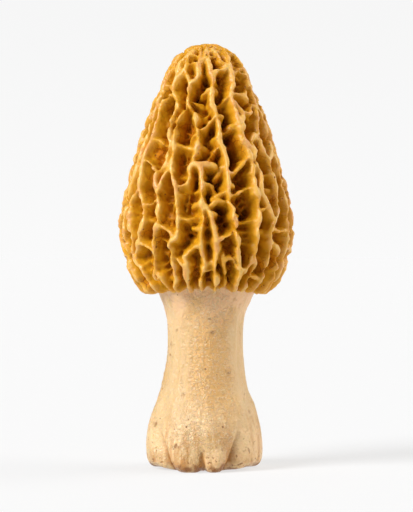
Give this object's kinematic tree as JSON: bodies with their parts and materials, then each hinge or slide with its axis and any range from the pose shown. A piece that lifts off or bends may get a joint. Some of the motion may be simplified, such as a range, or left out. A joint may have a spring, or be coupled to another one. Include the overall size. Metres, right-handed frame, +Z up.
{
  "type": "morel mushroom",
  "caption": "Whole fresh morel mushroom: tall conical cap of honeycomb pits and ribs grown in one with a pale waisted stem that swells into a lobed foot and stands on it.",
  "frame": {"origin": "middle of the flat foot, on the surface that the mushroom stands on", "axes": "+Z up the stem to the crown of the cap, -Y towards the side that was seen, +X to its right"},
  "size_m": [0.0416, 0.0416, 0.1],
  "materials": {
    "flesh": "matte, slightly waxy fungus flesh, honey yellow on the cap and cream on the stem"
  },
  "bodies": {
    "root": {"morel": "flesh"}
  },
  "joints": []
}
